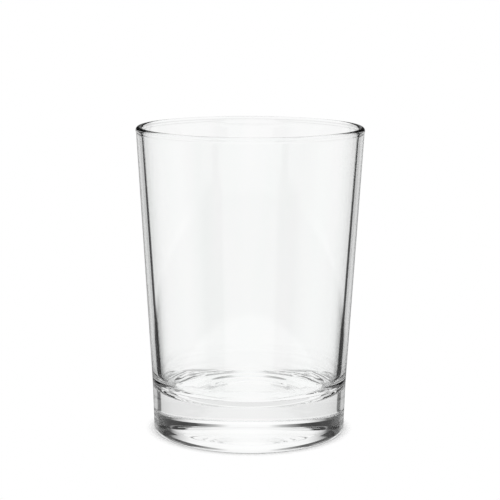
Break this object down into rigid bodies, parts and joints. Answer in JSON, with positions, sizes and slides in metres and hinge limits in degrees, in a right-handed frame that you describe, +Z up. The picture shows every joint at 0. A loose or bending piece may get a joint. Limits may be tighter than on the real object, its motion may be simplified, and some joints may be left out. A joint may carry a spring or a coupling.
{
  "type": "tumbler",
  "caption": "Clear drinking glass with straight tapered sides, a fire-polished round rim and a thick solid base with a rounded heel.",
  "frame": {"origin": "middle of the resting face, on the table", "axes": "+Z up along the axis of the glass to the open rim; the glass is round, so +X and +Y are free"},
  "size_m": [0.074, 0.074, 0.1],
  "materials": {
    "clear_glass": "clear soda-lime glass, fire-polished and glossy"
  },
  "bodies": {
    "root": {"tumbler_glass": "clear_glass"}
  },
  "joints": []
}
